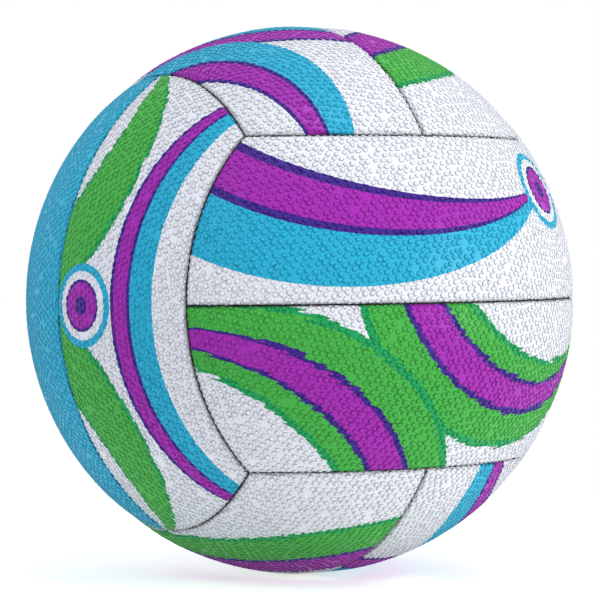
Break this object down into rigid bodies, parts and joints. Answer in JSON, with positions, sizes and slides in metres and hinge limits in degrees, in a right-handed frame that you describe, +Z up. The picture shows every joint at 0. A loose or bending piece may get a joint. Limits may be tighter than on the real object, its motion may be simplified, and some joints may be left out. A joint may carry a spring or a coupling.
{
  "type": "netball",
  "caption": "Hand-stitched netball with a pebble-grip rubber cover in coloured print, woven linings, sewn-in seams, an air bladder and a needle valve.",
  "frame": {"origin": "centre of the ball", "axes": "+Z up, front towards -Y and the ball's left towards -X. Each axis leaves the ball through the middle of a face's middle seam. The valve is in the upper rear panel"},
  "size_m": [0.2228, 0.2228, 0.2228],
  "materials": {
    "cover_white": "matte",
    "cover_blue": "matte",
    "lining_cloth": "matte",
    "waxed_thread": "satin",
    "bladder_rubber": "satin",
    "patch_rubber": "matte",
    "valve_rubber": "satin",
    "core_rubber": "satin"
  },
  "bodies": {
    "root": {"front_upper_panel": "cover_white", "front_lower_panel": "cover_white", "rear_upper_panel": "cover_white", "rear_lower_panel": "cover_white", "top_left_panel": "cover_white", "top_right_panel": "cover_white", "bottom_left_panel": "cover_white", "bottom_right_panel": "cover_white", "left_front_panel": "cover_white", "left_rear_panel": "cover_blue", "right_front_panel": "cover_white", "right_rear_panel": "cover_white", "front_upper_lining": "lining_cloth", "front_lower_lining": "lining_cloth", "rear_upper_lining": "lining_cloth", "rear_lower_lining": "lining_cloth", "top_left_lining": "lining_cloth", "top_right_lining": "lining_cloth", "bottom_left_lining": "lining_cloth", "bottom_right_lining": "lining_cloth", "left_front_lining": "lining_cloth", "left_rear_lining": "lining_cloth", "right_front_lining": "lining_cloth", "right_rear_lining": "lining_cloth", "front_middle_stitching": "waxed_thread", "rear_middle_stitching": "waxed_thread", "top_middle_stitching": "waxed_thread", "bottom_middle_stitching": "waxed_thread", "left_middle_stitching": "waxed_thread", "right_middle_stitching": "waxed_thread", "rear_top_stitching": "waxed_thread", "front_bottom_stitching": "waxed_thread", "rear_bottom_stitching": "waxed_thread", "front_top_stitching": "waxed_thread", "right_top_stitching": "waxed_thread", "left_bottom_stitching": "waxed_thread", "left_top_stitching": "waxed_thread", "right_bottom_stitching": "waxed_thread", "right_rear_stitching": "waxed_thread", "left_front_stitching": "waxed_thread", "right_front_stitching": "waxed_thread", "left_rear_stitching": "waxed_thread", "bladder": "bladder_rubber", "valve_patch": "patch_rubber", "valve_body": "valve_rubber", "valve_core": "core_rubber"}
  },
  "joints": []
}
